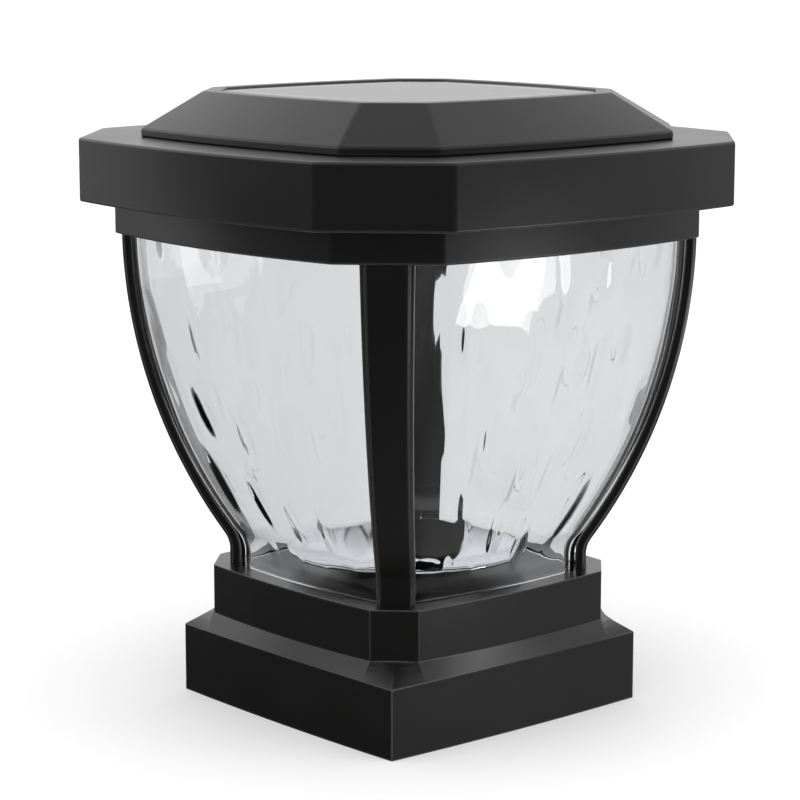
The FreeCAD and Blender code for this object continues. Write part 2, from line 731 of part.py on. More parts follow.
def reflector():
    """Spun dish: a flat floor that rests on the tier, a rising flare and a rolled lip."""
    body = doc.addObject("PartDesign::Body", "reflector_dish")
    sketch = body.newObject("Sketcher::SketchObject", "dish_profile")
    plane = [f for f in body.Origin.OriginFeatures if f.Role == "XZ_Plane"][0]
    sketch.AttachmentSupport = [(plane, "")]
    sketch.MapMode = "FlatFace"
    hole = "screw_radius + pass_hole_gap"
    gauge, floor, rise = "dish_sheet", "tier_top", "tier_top + dish_height"
    points = [(hole, floor), ("dish_floor", floor), ("dish_radius - dish_lip", f"{rise} - {gauge}"),
              ("dish_radius", f"{rise} - {gauge}"), ("dish_radius", rise),
              ("dish_radius - dish_lip", rise), ("dish_floor", f"{floor} + {gauge}"),
              (hole, f"{floor} + {gauge}")]
    count = len(points)
    spots = [Vector(value(x), value(y), 0) for x, y in points]
    for i in range(count):
        sketch.addGeometry(Part.LineSegment(spots[i], spots[(i + 1) % count]), False)
    for i in range(count):
        sketch.addConstraint(Sketcher.Constraint("Coincident", i, 2, (i + 1) % count, 1))
    for i, (x, y) in enumerate(points):
        for axis, text, now in (("DistanceX", x, spots[i].x), ("DistanceY", y, spots[i].y)):
            index = sketch.addConstraint(Sketcher.Constraint(axis, -1, 1, i, 1, now))
            sketch.setExpression(f"Constraints[{index}]", expand(text))
    spin = body.newObject("PartDesign::Revolution", "dish_spin")
    spin.Profile = sketch
    spin.ReferenceAxis = (sketch, ["V_Axis"])
    spin.Angle = 360
    body.Tip = spin
    keep(body)
    keep(pan_screw("reflector_screw", "(tier_top + dish_sheet)", "dish_screw_length", up=False))


# ---------------------------------------------------------------- roof
def roof_rim():
    """Deep fascia with a flat ledge and an opening for the hood's spigot."""
    body = loft("rim", ("rim_facet", "rim_half", "rim_bow", "rim_foot"),
                ("rim_facet", "rim_half", "rim_bow", "rim_top - rim_edge"),
                ("rim_facet - rim_edge", "rim_half - rim_edge * facet_share", "rim_bow", "rim_top"))
    room = prism("rim_room", "rim_facet - rim_wall", "rim_half - rim_wall * facet_share",
                 "rim_bow", "rim_foot - 1", "rim_ceiling")
    hole = prism("rim_hole", "rim_hole_facet", "rim_hole_half", "hood_bow",
                 "rim_foot", "rim_top + 1")
    keep(cut("roof_rim", body, room, hole))


def solar_hood():
    """Sloping hood: upright foot, bowed slopes, a flat border round the panel's pocket, a spigot
    through the rim's opening and four screw bosses."""
    body = loft("hood", ("hood_facet", "hood_half", "hood_bow", "rim_top"),
                ("hood_facet", "hood_half", "hood_bow", "hood_shoulder"),
                ("hood_top_facet", "hood_top_half", "hood_top_bow", "hood_top"))
    spigot = prism("spigot", "rim_hole_facet - spigot_gap",
                   "rim_hole_half - spigot_gap * facet_share",
                   "hood_bow", "rim_top - spigot_depth", "rim_top + hood_floor")
    throat_facet = "rim_hole_facet - spigot_gap - spigot_wall"
    throat_half = "rim_hole_half - (spigot_gap + spigot_wall) * facet_share"
    throat = prism("throat", throat_facet, throat_half, "hood_bow",
                   "rim_top - spigot_depth - 1", "rim_top + hood_floor + join")
    # the cavity keeps hood_wall from the slope, measured level
    lean = "(hood_facet - hood_top_facet) / hood_slope"
    inner_top = f"hood_facet - ({lean}) * (ledge_under - hood_shoulder) - 2 * hood_wall"
    half_lean = "(hood_half - hood_top_half) / hood_slope"
    inner_half = (f"hood_half - ({half_lean}) * (ledge_under - hood_shoulder)"
                  " - 2 * hood_wall * facet_share")
    cavity = loft("hood_cavity",
                  ("hood_facet - 2 * hood_wall", "hood_half - 2 * hood_wall * facet_share",
                   "hood_bow", "rim_top + hood_floor"),
                  ("hood_facet - 2 * hood_wall", "hood_half - 2 * hood_wall * facet_share",
                   "hood_bow", "hood_shoulder"),
                  (inner_top, inner_half, "hood_top_bow", "ledge_under"))
    pocket = prism("pocket", "pocket_facet", "pocket_half", "hood_top_bow",
                   "pocket_floor", "hood_top + 1")
    window = prism("window", "pocket_facet - panel_ledge", "pocket_half - panel_ledge * facet_share",
                   "hood_top_bow", "ledge_under - 1", "hood_top + 1")
    shell = cut("hood_shell", joined("hood_outside", body, spigot), throat, cavity, pocket, window)
    bosses, holes = [], []
    for i, (x, y) in enumerate(on_diagonals("roof_screw_reach")):
        bosses.append(rod(f"hood_boss_{i}", "boss_radius", "roof_boss_foot",
                          "ledge_under + panel_ledge_thickness / 2", x, y))
        holes.append(rod(f"hood_boss_hole_{i}", "screw_radius + screw_hole_gap",
                         "roof_boss_foot - 1", "tray_foot + roof_screw_length + hole_spare",
                         x, y))
    keep(cut("solar_hood", joined("hood_whole", shell, *bosses), *holes))


def solar_panel():
    """Seal, backing board, cell strips and clear cover, stacked in the hood's pocket."""
    seal_top = "pocket_floor + seal_thickness"
    backing_top = f"{seal_top} + backing_thickness"
    wafer_top = f"{backing_top} + cell_wafer"
    face = ("panel_facet", "panel_half", "hood_top_bow")
    keep(cut("panel_seal", prism("seal", *face, "pocket_floor", seal_top),
             prism("seal_hole", "panel_facet - panel_ledge",
                   "panel_half - panel_ledge * facet_share", "hood_top_bow",
                   "pocket_floor - 1", f"{seal_top} + 1")))
    keep(joined("panel_backing", prism("backing", *face, seal_top, backing_top),
                prism("backing_back", "panel_facet - panel_ledge - panel_gap",
                      "panel_half - (panel_ledge + panel_gap) * facet_share", "hood_top_bow",
                      f"{seal_top} - backing_step", backing_top)))
    wafers = []
    count = int(value("wafer_count"))
    for i in range(count):
        y = f"({i} - {(count - 1) / 2}) * (wafer_width + wafer_gap)"
        wafers.append(block(f"wafer_{i}", "wafer_length", "wafer_width",
                            backing_top, wafer_top, "0", y))
    keep(group("solar_cells", wafers))
    keep(prism_named("panel_cover", *face, wafer_top, f"{wafer_top} + cover_thickness"))


def prism_named(name, *sizes):
    """A raised bowed octagon that is a piece by itself."""
    solid = prism(name, *sizes)
    solid.Label = name
    return solid


def roof_tray():
    """Floor of the roof: plate with an upright wall, a lip inside the ring, and its openings."""
    plate = prism("tray_plate", "tray_facet", "tray_half", "rim_bow", "tray_foot", "tray_top")
    wall = cut("tray_wall", prism("tray_wall_outside", "tray_facet", "tray_half", "rim_bow",
                                  "tray_foot", "rim_ceiling"),
               prism("tray_wall_inside", "tray_facet - tray_wall",
                     "tray_half - tray_wall * facet_share", "rim_bow", "tray_foot - 1",
                     "rim_ceiling + 1"))
    lip_facet = "ring_facet - ring_wall - tray_lip_gap"
    lip_half = "ring_half - (ring_wall + tray_lip_gap) * facet_share"
    lip = cut("tray_lip", prism("tray_lip_outside", lip_facet, lip_half, "ring_bow",
                                "tray_foot - tray_lip_depth", "tray_foot + join"),
              prism("tray_lip_inside", f"{lip_facet} - tray_lip_wall",
                    f"{lip_half} - tray_lip_wall * facet_share", "ring_bow",
                    "tray_foot - tray_lip_depth - 1", "tray_foot + 1"))
    solids, tools = [plate, wall, lip], []
    for i, (x, y) in enumerate(on_diagonals("roof_screw_reach")):
        solids.append(rod(f"tray_boss_{i}", "boss_radius", "tray_foot", "roof_boss_foot", x, y))
        tools.append(rod(f"tray_screw_hole_{i}", "screw_radius + pass_hole_gap",
                         "tray_foot - 1", "roof_boss_foot + 1", x, y))
    for hand in (-1, 1):
        x = f"{hand} * board_post_spread"
        solids.append(rod(f"board_post_{hand + 1}", "board_post_radius", "tray_foot",
                          "board_under", x, "board_offset"))
        tools.append(rod(f"board_post_hole_{hand + 1}", "screw_radius + screw_hole_gap",
                         "board_top - board_screw_length - hole_spare",
                         "board_under + 1", x, "board_offset"))
    tools.append(rod("lens_hole", "lens_radius + lens_hole_gap", "tray_foot - 1", "tray_top + 1"))
    tools.append(block("door_hole", "door_length + 2 * door_gap", "door_width + 2 * door_gap",
                       "tray_foot - 1", "tray_top + 1", "0", "-bay_offset"))
    pin_reach = "door_length / 2 + door_pin_length + door_pin_end_gap"
    tools.append(lying_rod("door_pin_hole", "door_pin_radius + door_pin_gap", f"-({pin_reach})",
                           pin_reach, "door_hinge_y", "door_hinge_z"))
    tools.append(block("knob_slot", "knob_length + knob_travel + 2 * knob_gap",
                       "knob_width + 2 * knob_gap", "tray_foot - 1", "tray_top + 1",
                       "knob_travel / 2", "board_offset"))
    keep(cut("roof_tray", joined("tray_solid", *solids), *tools))
    screws = [pan_screw(f"roof_screw_{i}", "tray_foot", "roof_screw_length", x, y)
              for i, (x, y) in enumerate(on_diagonals("roof_screw_reach"))]
    keep(group("roof_screws", screws))


def lamp():
    """Lens with a tapered nose under the tray, and the LED on its board above it."""
    flange = rod("lens_flange", "lens_radius + lens_flange", "tray_top", "lens_top")
    barrel = rod("lens_barrel", "lens_radius", "tray_foot", "lens_top")
    dome = doc.addObject("Part::Cone", "lens_dome")
    bind(dome, Radius1="lens_nose_radius", Radius2="lens_radius", Height="lens_dome",
         Placement__Base__z="tray_foot - lens_dome")
    keep(cut("lamp_lens", joined("lens_solid", flange, barrel, dome),
             rod("led_pocket", "led_pocket_radius", "lens_top - led_pocket_depth",
                 "lens_top + 1")))
    keep(rod_named("led_board", "lens_radius + lens_flange", "lens_top",
                   "lens_top + led_board_thickness"))
    chip = block("led_chip", "led_side", "led_side", "lens_top - led_height", "lens_top")
    chip.Label = "led_chip"
    keep(chip)


def rod_named(name, *sizes):
    """An upright cylinder that is a piece by itself."""
    solid = rod(name, *sizes)
    solid.Label = name
    return solid


def battery_bay():
    """Open-bottomed box over the tray's opening, its two cells and their contacts."""
    outside = block("bay_outside", "bay_length + 2 * bay_wall", "bay_width + 2 * bay_wall",
                    "tray_top", "bay_ceiling + bay_wall", "0", "-bay_offset")
    flange = block("bay_flange", "bay_length + 2 * bay_wall + 2 * bay_flange",
                   "bay_width + 2 * bay_wall + 2 * bay_flange",
                   "tray_top", "tray_top + bay_wall", "0", "-bay_offset")
    inside = block("bay_inside", "bay_length", "bay_width", "tray_top - 1", "bay_ceiling",
                   "0", "-bay_offset")
    keep(cut("battery_bay", joined("bay_solid", outside, flange), inside))
    springs, plates = [], []
    for i, hand in enumerate((1, -1)):
        y = f"-bay_offset + {hand} * (cell_diameter + cell_gap) / 2"
        end = "(bay_length / 2 - contact_sheet)"
        near, far = f"({end} - nub_height)", f"({end} - nub_height - cell_length)"
        case_ends = (far, near) if hand > 0 else (f"-{near}", f"-{far}")
        nub_ends = (near, end) if hand > 0 else (f"-{end}", f"-{near}")
        case = lying_rod(f"cell_case_{i}", "cell_diameter / 2", *case_ends, y, "cell_level")
        nub = lying_rod(f"cell_nub_{i}", "nub_radius", *nub_ends, y, "cell_level")
        keep(joined(f"battery_cell_{i + 1}", case, nub))
        plate_x = f"{hand} * (bay_length - contact_sheet) / 2"
        plates.append(block(f"plate_{i}", "contact_sheet", "contact_width",
                            "cell_level - contact_height / 2", "cell_level + contact_height / 2",
                            plate_x, y))
        springs.append(leaf_spring(hand, value(y)))
    keep(group("battery_plates", plates))
    keep(placed("battery_springs", Part.makeCompound(springs)))


def leaf_spring(hand, y):
    """Bent strip between the bay's end and a cell: an upright back and a folded arm."""
    gauge, reach = value("contact_sheet"), value("contact_reach")
    half, middle = value("contact_height") / 2, value("cell_level")
    profile = [(0, -half), (gauge, -half), (reach, 0), (reach / 3, half - gauge),
               (reach / 3 - gauge, half - 2 * gauge), (reach - 2 * gauge, 0),
               (gauge, gauge - half + gauge), (gauge, half), (0, half)]
    start = -value("bay_length") / 2
    points = [Vector(hand * (start + x), y - value("contact_width") / 2, middle + z)
              for x, z in profile]
    face = Part.Face(Part.makePolygon(points + points[:1]))
    return face.extrude(Vector(0, value("contact_width"), 0))


def battery_door():
    """Flat door in the tray's floor with a rounded hinge edge, stub pins and a grip hollow."""
    middle = "-bay_offset + door_thickness / 4"
    plate = block("door_plate", "door_length", "door_width - door_thickness / 2",
                  "tray_foot", "tray_foot + door_thickness", "0", middle)
    edge = lying_rod("door_edge", "door_thickness / 2", "-door_length / 2", "door_length / 2",
                     "door_hinge_y", "door_hinge_z")
    reach = "door_length / 2 + door_pin_length"
    pins = lying_rod("door_pins", "door_pin_radius", f"-({reach})", reach,
                     "door_hinge_y", "door_hinge_z")
    tab = block("door_tab", "door_tab_width", "door_tab_thickness",
                "tray_foot + door_thickness / 2", "tray_foot + door_thickness + door_tab", "0",
                "-bay_offset + door_width / 2 - door_tab_inset")
    grip = rod("door_grip", "door_grip_radius", "tray_foot - 1", "tray_foot + door_grip_depth",
               "0", "-bay_offset + door_width / 2")
    keep(cut("battery_door", joined("door_solid", plate, edge, pins, tab), grip))


def circuit():
    """Charging board on two posts, its parts, its screws and the slide switch under it."""
    hole = "screw_radius + pass_hole_gap"
    board = block("board", "board_length", "board_width", "board_under", "board_top", "0",
                  "board_offset")
    holes = [rod(f"board_hole_{hand + 1}", hole, "board_under - 1", "board_top + 1",
                 f"{hand} * board_post_spread", "board_offset") for hand in (-1, 1)]
    keep(cut("circuit_board", board, *holes))
    keep(group("board_screws", [pan_screw(f"board_screw_{hand + 1}", "board_top",
                                          "board_screw_length",
                                          f"{hand} * board_post_spread", "board_offset", up=False)
                                for hand in (-1, 1)]))
    keep(group("driver_parts", [
        rod("coil", "coil_radius", "board_top", "board_top + coil_height",
            "-coil_radius - part_spacing", "board_offset + part_spacing"),
        block("chip", "chip_length", "chip_width", "board_top", "board_top + chip_height",
              "chip_length", "board_offset - part_spacing")]))
    x, y = "knob_travel / 2", "board_offset"
    room = "knob_length + 2 * knob_flange + knob_travel + 2 * knob_gap"
    room_width = "knob_width + 2 * knob_flange + 2 * knob_gap"
    flange_low = "tray_top + switch_gap + switch_wall + knob_gap"
    keep(cut("switch_body",
             block("switch_case", "switch_length", "switch_width", "tray_top + switch_gap",
                   "board_under", x, y),
             block("switch_room", room, room_width, "tray_top + switch_gap + switch_wall",
                   f"{flange_low} + knob_flange_thickness + knob_gap", x, y),
             block("switch_mouth", "knob_length + knob_travel + 2 * knob_gap",
                   "knob_width + 2 * knob_gap", "tray_top - 1", f"{flange_low} + join", x, y)))
    keep(joined("switch_knob",
                block("knob_stem", "knob_length", "knob_width", "tray_foot - knob_proud",
                      f"{flange_low} + join", "0", y),
                block("knob_flange", "knob_length + 2 * knob_flange",
                      "knob_width + 2 * knob_flange", flange_low,
                      f"{flange_low} + knob_flange_thickness", "0", y)))


# ---------------------------------------------------------------- build, check, export
for make in (base_cap, lantern_frame, glass_globe, gaskets, rib_screws, reflector, roof_rim,
             solar_hood, solar_panel, roof_tray, lamp, battery_bay, battery_door, circuit):
    make()
doc.recompute()

faults = [f"{thing.Name}: {thing.State}" for thing in doc.Objects
          if {"Invalid", "Error"} & set(thing.State)]
for piece in PARTS:
    if piece.Shape.isNull() or not piece.Shape.isValid():
        faults.append(f"{piece.Label}: shape is null or not valid")
if faults:
    raise SystemExit("\n".join(faults))

os.makedirs("parts", exist_ok=True)
for piece in PARTS:
    shape = piece.Shape
    piece.Label = piece.Label.removesuffix("_raised").removesuffix("_rod")
    shape.exportStep(f"parts/{piece.Label}.step")
    box = shape.BoundBox
    print(f"{piece.Label:20s} solids {len(shape.Solids):2d} volume {shape.Volume:10.1f} "
          f"z {box.ZMin:7.2f} to {box.ZMax:7.2f}")
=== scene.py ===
"""Looks of a solar deck post cap light: satin black mouldings, a clear rippled glass globe, a
chrome dish and a solar roof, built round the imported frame. Lengths are in metres."""
import math

import bpy
import numpy as np
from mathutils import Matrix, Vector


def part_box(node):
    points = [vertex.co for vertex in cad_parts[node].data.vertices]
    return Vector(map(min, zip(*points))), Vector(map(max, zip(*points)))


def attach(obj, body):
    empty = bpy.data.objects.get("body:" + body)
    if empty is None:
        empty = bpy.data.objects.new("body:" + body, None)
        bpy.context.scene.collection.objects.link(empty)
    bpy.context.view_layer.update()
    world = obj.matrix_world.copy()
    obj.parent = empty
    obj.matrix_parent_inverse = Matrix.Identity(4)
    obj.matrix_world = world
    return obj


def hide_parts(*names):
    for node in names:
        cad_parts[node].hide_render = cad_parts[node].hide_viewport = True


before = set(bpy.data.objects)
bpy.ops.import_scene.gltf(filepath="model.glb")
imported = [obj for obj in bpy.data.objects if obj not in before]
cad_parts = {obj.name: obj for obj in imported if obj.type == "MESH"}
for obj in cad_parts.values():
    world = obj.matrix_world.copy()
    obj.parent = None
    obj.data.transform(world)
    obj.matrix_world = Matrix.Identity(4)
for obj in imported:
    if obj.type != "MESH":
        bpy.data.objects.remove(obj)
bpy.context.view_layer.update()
MM = 0.001


def level(node, end):
    """Lowest (end 0) or highest (end 1) level of a CAD node."""
    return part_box(node)[end][2]


# ---------------------------------------------------------------- sizes
# bowed octagons: facet distance, half facet, bow of the sides
TIER = (59.1 * MM, 7.05 * MM, 2.0 * MM)
RING = (86.2 * MM, 15.3 * MM, 5.2 * MM)
RIM = (96.0 * MM, 18.9 * MM, 4.2 * MM)
RIM_HOLE = (70.0 * MM, 11.0 * MM, 3.0 * MM)
HOOD = (78.2 * MM, 13.8 * MM, 3.0 * MM)
HOOD_TOP = (60.1 * MM, 9.1 * MM, 2.6 * MM)
SKIRT_HALF = 49.0 * MM
# how far short of a corner the skirt has the point that faces the tier facet's end
MITRE_RUN = SKIRT_HALF - (TIER[0] - TIER[1]) / math.sqrt(2)
SKIRT_BOW = 1.2 * MM
SKIRT_TOP = 20.9 * MM
TIER_FOOT = 26.5 * MM
TIER_TOP = level("base_cap", 1)
POST_STOP = SKIRT_TOP - 2.6 * MM
WALL = 3.0 * MM
# the globe's groove in the tier, with play outside and inside the glass, and the dish's hub
SEAT_DEPTH = 1.5 * MM
SEAT_HALF, SEAT_BOW = 6.3 * MM, 2.0 * MM
SEAT_PLAY, ISLAND_PLAY = 0.3 * MM, 0.6 * MM
HUB = (10 * MM, 3 * MM, 0.2 * MM)
RING_FOOT = 144.0 * MM
RING_TOP = level("lantern_frame", 1)
RIM_FOOT, RIM_TOP = level("roof_rim", 0), level("roof_rim", 1)
RIM_PLATE = 2.6 * MM
HOOD_SHOULDER = RIM_TOP + 2.4 * MM
HOOD_FLANGE_TOP = level("solar_hood", 1)
PANEL_BORDER = 4.7 * MM
POCKET_DEPTH = 4.1 * MM
PANEL_LEDGE = 4.9 * MM
LEDGE_THICKNESS = 1.6 * MM
# the bowl's side along a diagonal
NECK_RADIUS = 54.4 * MM
NECK_CURVE = 8.5 * MM
BOWL_RADIUS = 163.0 * MM
BOWL_REACH = 85.9 * MM
BOWL_LEVEL = 145.2 * MM
# the ribs: pairs are at the foot and at the head
RIB_DEPTH, PANEL_RAISE, PANEL_SLOPE = 3.2 * MM, 0.8 * MM, 0.5 * MM
RIB_WIDTH = (11.0 * MM, 15.2 * MM)
PANEL_WIDTH = (9.0 * MM, 12.0 * MM)
RIB_SINK, RIB_LAP = 1.0 * MM, 3.0 * MM
RIB_CURVE_END, RIB_SLOPE_START = 60 * MM, 62 * MM
# the globe: pairs are at the foot and at the top
GLASS_GAP, GLASS_WALL = 0.4 * MM, 3.0 * MM
GLASS_HALF = (6.2 * MM, 13.4 * MM)
GLASS_BOW = (2.0 * MM, 5.4 * MM)
GLASS_SWELL = 0.45 * MM
DIMPLE_DEPTH, STREAK_DEPTH = 0.55 * MM, 0.3 * MM
# the dish
DISH_SHEET, DISH_BORE, DISH_FLAT, DISH_LIP = 1.0 * MM, 1.75 * MM, 9.0 * MM, 2.0 * MM
FLARE = 1.25
# a facet's half width shrinks by this share of the depth that it moves inwards
FACET_SHARE = math.tan(math.radians(22.5))
# rounded edges, and the least turn between two faces that gets one, in degrees
SHELL_ROUND, RIM_ROUND, HOOD_ROUND, RIB_ROUND = 0.7 * MM, 0.8 * MM, 0.6 * MM, 0.3 * MM
SHELL_LIMIT, RIB_LIMIT = 8.0, 30.0


def inset(shape, depth):
    """The bowed octagon a wall's depth inside another."""
    facet, half, bow = shape
    return facet - depth, half - depth * FACET_SHARE, bow


def between(ends, share):
    """What runs from the first of two ends to the second as share runs from 0 to 1."""
    return ends[0] + (ends[1] - ends[0]) * share


# ---------------------------------------------------------------- surfaces
SIDE_STEPS, CORNER_STEPS, DECK_STEPS = 28, 5, 4
RIB_CURVE_STEPS, RIB_SLOPE_STEPS = 34, 50
GLOBE_ROWS, GLOBE_COLUMNS, SOFTENING = 130, 360, 6
DISH_ROWS, DISH_COLUMNS = 26, 160


def quarters(side, corner):
    """A closed row of points: one side's points, then CORNER_STEPS steps to the corner and as
    many on to the next side, turned to four places."""
    share = np.arange(1, CORNER_STEPS + 1)[:, None] / CORNER_STEPS
    after = np.array([-side[0][1], side[0][0]])
    toward = side[-1] + share * (corner - side[-1])
    onward = corner + share[:-1] * (after - corner)
    quarter = np.vstack([side, toward, onward])
    turns = [np.array([[math.cos(a), math.sin(a)], [-math.sin(a), math.cos(a)]])
             for a in np.arange(4) * math.pi / 2]
    return np.vstack([quarter @ turn for turn in turns])


def at_level(plan, z):
    """Plan points lifted to a level."""
    return np.column_stack([plan, np.full(len(plan), z)])


def ring_row(shape, z):
    """A bowed octagon at a level. Its side is x = far + bow (1 - (y / near)^2) for y from -near
    to near, and its corner is the middle of the facet."""
    facet, half, bow = shape
    near, far = (facet - half) / math.sqrt(2), (facet + half) / math.sqrt(2)
    y = np.linspace(-near, near, SIDE_STEPS + 1)
    side = np.column_stack([far + bow * (1 - (y / near) ** 2), y])
    return at_level(quarters(side, np.full(2, facet / math.sqrt(2))), z)


def skirt_row(half, bow, z):
    """The skirt's bowed square at a level, with a point MITRE_RUN short of each corner."""
    y = np.linspace(MITRE_RUN - half, half - MITRE_RUN, SIDE_STEPS + 1)
    side = np.column_stack([half + bow * (1 - (y / half) ** 2), y])
    return at_level(quarters(side, np.full(2, half)), z)


def octagon_radius(theta, facet, half, bow):
    """Distance of a bowed octagon from the axis in each direction: the lesser of the facet's
    straight line and the side's circle, both measured from the nearest axis of symmetry."""
    to_side = (theta + math.pi / 4) % (math.pi / 2) - math.pi / 4
    to_facet = theta % (math.pi / 2) - math.pi / 4
    near, far = (facet - half) / math.sqrt(2), (facet + half) / math.sqrt(2)
    circle = (near ** 2 + bow ** 2) / (2 * bow)
    middle = far + bow - circle
    side = middle * np.cos(to_side) + np.sqrt(circle ** 2 - (middle * np.sin(to_side)) ** 2)
    return np.minimum(facet / np.cos(to_facet), side)


def grid_faces(rows, columns, close_rows):
    """Quads of a grid whose columns close on themselves, and its rows too if asked."""
    first = np.arange(rows if close_rows else rows - 1)[:, None]
    across = np.arange(columns)[None, :]
    after, beside = (first + 1) % rows, (across + 1) % columns
    corners = [first * columns + across, first * columns + beside,
               after * columns + beside, after * columns + across]
    return np.stack(corners, -1).reshape(-1, 4)


def placed(name, data):
    """A new object of this data in the scene."""
    item = bpy.data.objects.new(name, data)
    bpy.context.collection.objects.link(item)
    return item


def new_piece(name, points, faces, body, material, replaced, bevel=0.0, limit=SHELL_LIMIT):
    """A smooth mesh object from points and faces, riding on a body, with its edges rounded."""
    mesh = bpy.data.meshes.new(name)
    mesh.from_pydata(points.tolist(), [], faces)
    mesh.polygons.foreach_set("use_smooth", np.ones(len(mesh.polygons), dtype=bool))
    mesh.materials.append(material)
    piece = placed(name, mesh)
    if bevel:
        rounding = piece.modifiers.new("rounded_edges", "BEVEL")
        rounding.width = bevel
        rounding.segments = 3
        rounding.limit_method = "ANGLE"
        rounding.angle_limit = math.radians(limit)
        rounding.harden_normals = True
    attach(piece, body)
    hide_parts(*replaced)


def carried(name, rows, body, material, replaced, bevel):
    """A closed profile carried round the axis: rows of the outer face upwards, then of the inner
    face downwards, joined in a loop."""
    faces = grid_faces(len(rows), len(rows[0]), True).tolist()
    new_piece(name, np.concatenate(rows), faces, body, material, replaced, bevel)


# ---------------------------------------------------------------- shader groups
# painted highlight on the edges of the black mouldings: its gain and the pale colour painted there
HIGHLIGHT_GAIN = 12.0
HIGHLIGHT_COLOUR = (0.09, 0.09, 0.088)
TONE_SHARE, BUMP_STRENGTH, ROUGHNESS_DRIFT = 0.5, 0.6, 0.05


def shader_group(name, inputs, outputs):
    """An empty node group with named number inputs (with defaults) and outputs."""
    tree = bpy.data.node_groups.new(name, "ShaderNodeTree")
    for label, default in inputs.items():
        socket = tree.interface.new_socket(label, in_out="INPUT", socket_type="NodeSocketFloat")
        socket.default_value = default
    for label in outputs:
        tree.interface.new_socket(label, in_out="OUTPUT", socket_type="NodeSocketFloat")
    return tree, tree.nodes.new("NodeGroupInput"), tree.nodes.new("NodeGroupOutput")


def feed(tree, slot, item):
    """Gives an input a link from a socket, a colour of three numbers or one number."""
    if isinstance(item, bpy.types.NodeSocket):
        tree.links.new(item, slot)
    elif isinstance(item, tuple):
        slot.default_value = (*item, 1)
    else:
        slot.default_value = item


def noise(tree, scale, detail):
    """A noise texture on Object coordinates; scale is a number or a socket."""
    place = tree.nodes.new("ShaderNodeTexCoord")
    node = tree.nodes.new("ShaderNodeTexNoise")
    node.inputs["Detail"].default_value = detail
    tree.links.new(place.outputs["Object"], node.inputs["Vector"])
    feed(tree, node.inputs["Scale"], scale)
    return node.outputs["Fac"]


def arithmetic(tree, operation, first, second=0.0):
    """A Math node of two values or sockets."""
    node = tree.nodes.new("ShaderNodeMath")
    node.operation = operation
    for slot, item in zip(node.inputs, (first, second)):
        feed(tree, slot, item)
    return node.outputs[0]


def build_grain():
    """Fine moulded grain: a close noise for the bump and a slow one that shifts the tone."""
    tree, given, out = shader_group("moulded_grain", {"Scale": 1800.0, "Drift": 30.0},
                                    ["Height", "Tone"])
    tree.links.new(noise(tree, given.outputs["Scale"], 3.0), out.inputs["Height"])
    tree.links.new(noise(tree, given.outputs["Drift"], 4.0), out.inputs["Tone"])
    return tree


def build_dust():
    """Dust that settles on faces that look up, broken up by noise."""
    tree, given, out = shader_group("settled_dust", {"Amount": 0.3, "Scale": 90.0}, ["Mask"])
    shape = tree.nodes.new("ShaderNodeNewGeometry")
    split = tree.nodes.new("ShaderNodeSeparateXYZ")
    tree.links.new(shape.outputs["Normal"], split.inputs[0])
    upward = arithmetic(tree, "MAXIMUM", split.outputs["Z"], 0.0)
    patchy = arithmetic(tree, "MULTIPLY", upward, noise(tree, given.outputs["Scale"], 5.0))
    tree.links.new(arithmetic(tree, "MULTIPLY", patchy, given.outputs["Amount"]),
                   out.inputs["Mask"])
    return tree


def build_edge_highlight():
    """Painted highlight along the edges: a fixed gain times 1 less the dot product of the
    surface's normal and that normal averaged over a small radius, up to 1."""
    tree, given, out = shader_group("painted_edge_highlight", {"Radius": 0.0007, "Amount": 1.0}, ["Mask"])
    rounded = tree.nodes.new("ShaderNodeBevel")
    rounded.samples = 4
    tree.links.new(given.outputs["Radius"], rounded.inputs["Radius"])
    shape = tree.nodes.new("ShaderNodeNewGeometry")
    match = tree.nodes.new("ShaderNodeVectorMath")
    match.operation = "DOT_PRODUCT"
    tree.links.new(rounded.outputs[0], match.inputs[0])
    tree.links.new(shape.outputs["Normal"], match.inputs[1])
    turned = arithmetic(tree, "SUBTRACT", 1.0, match.outputs["Value"])
    highlight_amount = arithmetic(tree, "MULTIPLY", arithmetic(tree, "MULTIPLY", turned, HIGHLIGHT_GAIN),
                      given.outputs["Amount"])
    tree.links.new(arithmetic(tree, "MINIMUM", highlight_amount, 1.0), out.inputs["Mask"])
    return tree


GRAIN = build_grain()
EDGE_HIGHLIGHT = build_edge_highlight()
DUST = build_dust()


def shader(name):
    """A new material, its tree and its Principled BSDF."""
    material = bpy.data.materials.new(name)
    material.use_nodes = True
    return material, material.node_tree, material.node_tree.nodes["Principled BSDF"]


def grouped(tree, group, **values):
    """A placed node group with its inputs set."""
    node = tree.nodes.new("ShaderNodeGroup")
    node.node_tree = group
    for label, number in values.items():
        node.inputs[label].default_value = number
    return node


def spread(tree, factor, low, high):
    """A number that runs from low to high as factor runs from 0 to 1."""
    return arithmetic(tree, "ADD", arithmetic(tree, "MULTIPLY", factor, high - low), low)


def blend_colours(tree, factor, first, second):
    """A colour between two, each a socket or three numbers, by a factor socket."""
    node = tree.nodes.new("ShaderNodeMix")
    node.data_type = "RGBA"
    for label, item in (("Factor", factor), ("A", first), ("B", second)):
        feed(tree, node.inputs[label], item)
    return node.outputs["Result"]


